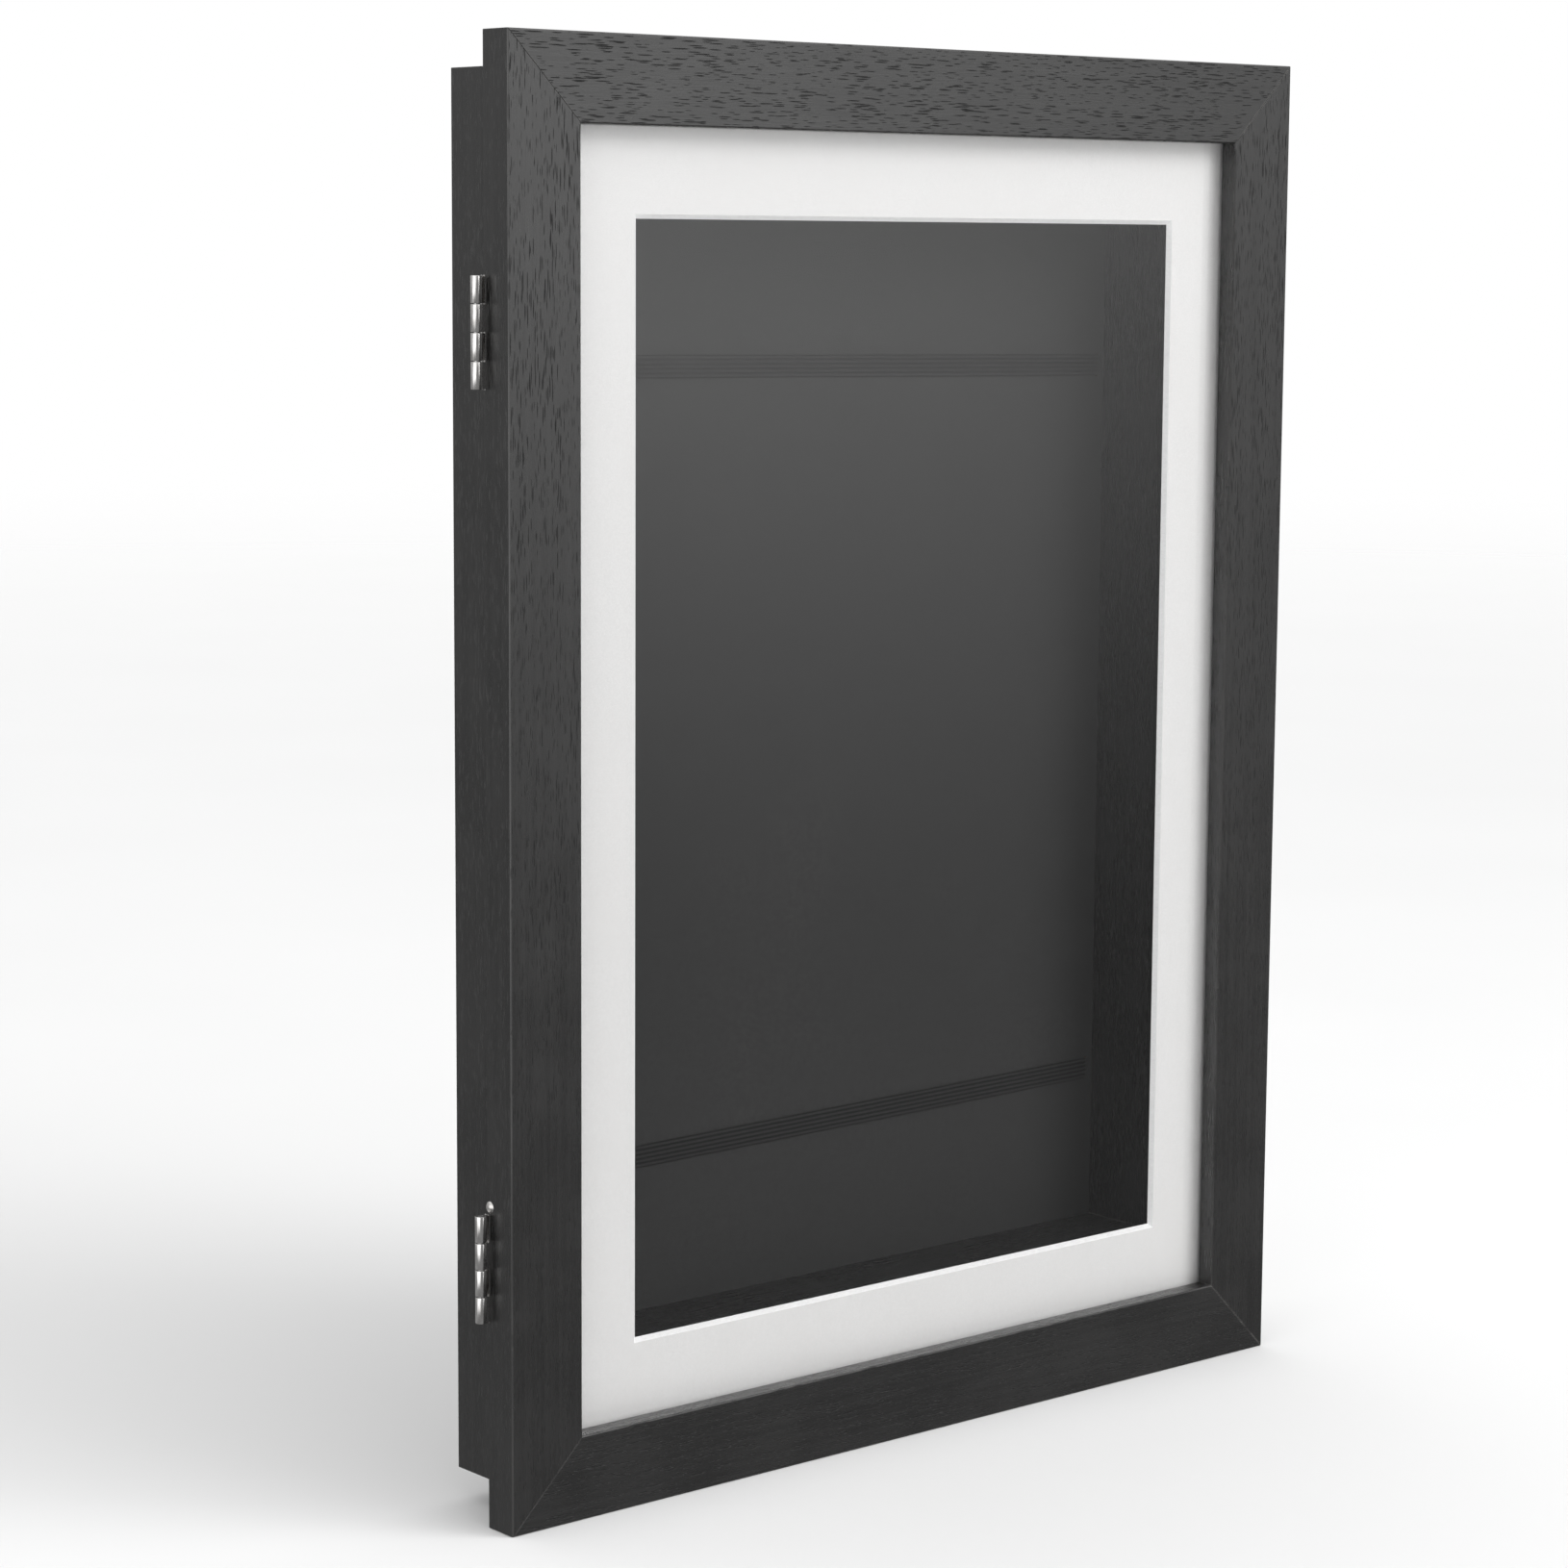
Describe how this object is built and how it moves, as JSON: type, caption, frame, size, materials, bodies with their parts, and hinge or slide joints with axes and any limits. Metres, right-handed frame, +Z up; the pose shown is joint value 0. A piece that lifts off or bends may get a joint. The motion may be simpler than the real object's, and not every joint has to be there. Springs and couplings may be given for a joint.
{
  "type": "hinged front-opening shadow box",
  "caption": "Wall-hung black shadow box: a glazed, matted door on side hinges closes over a deep box that holds sheets of artwork under elastic straps.",
  "frame": {"origin": "centre of the rear wall face, at the middle of the back panel", "axes": "+Y out of the rear face into the wall, +Z up in portrait use, +X to the viewer's right; the door faces -Y"},
  "size_m": [0.4416, 0.055, 0.592],
  "materials": {
    "black_wood": "satin black stain over open-pored wood, grain along each member",
    "clear_pane": "clear, polished",
    "white_mat": "matt, faintly textured board with a bevelled window",
    "black_board": "matt black facing with a fine tooth",
    "elastic": "black ribbed woven elastic",
    "nickel": "bright nickel plate",
    "steel": "zinc-plated, dull"
  },
  "bodies": {
    "box": {"box_rail_top": "black_wood", "box_rail_bottom": "black_wood", "box_stile_left": "black_wood", "box_stile_right": "black_wood", "box_v_nails": "steel", "back_panel": "black_board", "panel_brads": "steel", "strap_upper": "elastic", "strap_lower": "elastic", "strap_staples": "steel", "hinge_upper_box_leaf": "nickel", "hinge_lower_box_leaf": "nickel", "hinge_upper_pin": "steel", "hinge_lower_pin": "steel", "hinge_upper_box_screws": "nickel", "hinge_lower_box_screws": "nickel", "latch_magnets": "nickel", "portrait_hanger": "steel", "landscape_hanger": "steel", "hanger_nails": "steel"},
    "door": {"door_rail_top": "black_wood", "door_rail_bottom": "black_wood", "door_stile_left": "black_wood", "door_stile_right": "black_wood", "door_v_nails": "steel", "glazing_pane": "clear_pane", "mat_board": "white_mat", "retaining_points": "steel", "strike_plates": "steel", "strike_screws": "nickel", "door_edge_brad": "nickel", "hinge_upper_door_leaf": "nickel", "hinge_lower_door_leaf": "nickel", "hinge_upper_door_screws": "nickel", "hinge_lower_door_screws": "nickel"}
  },
  "joints": [
    {"name": "door_hinge", "type": "hinge", "parent": "box", "child": "door", "pos_m": [-0.2213, -0.03875, 0], "axis": [0, 0, -1], "range_deg": [0, 180]}
  ]
}
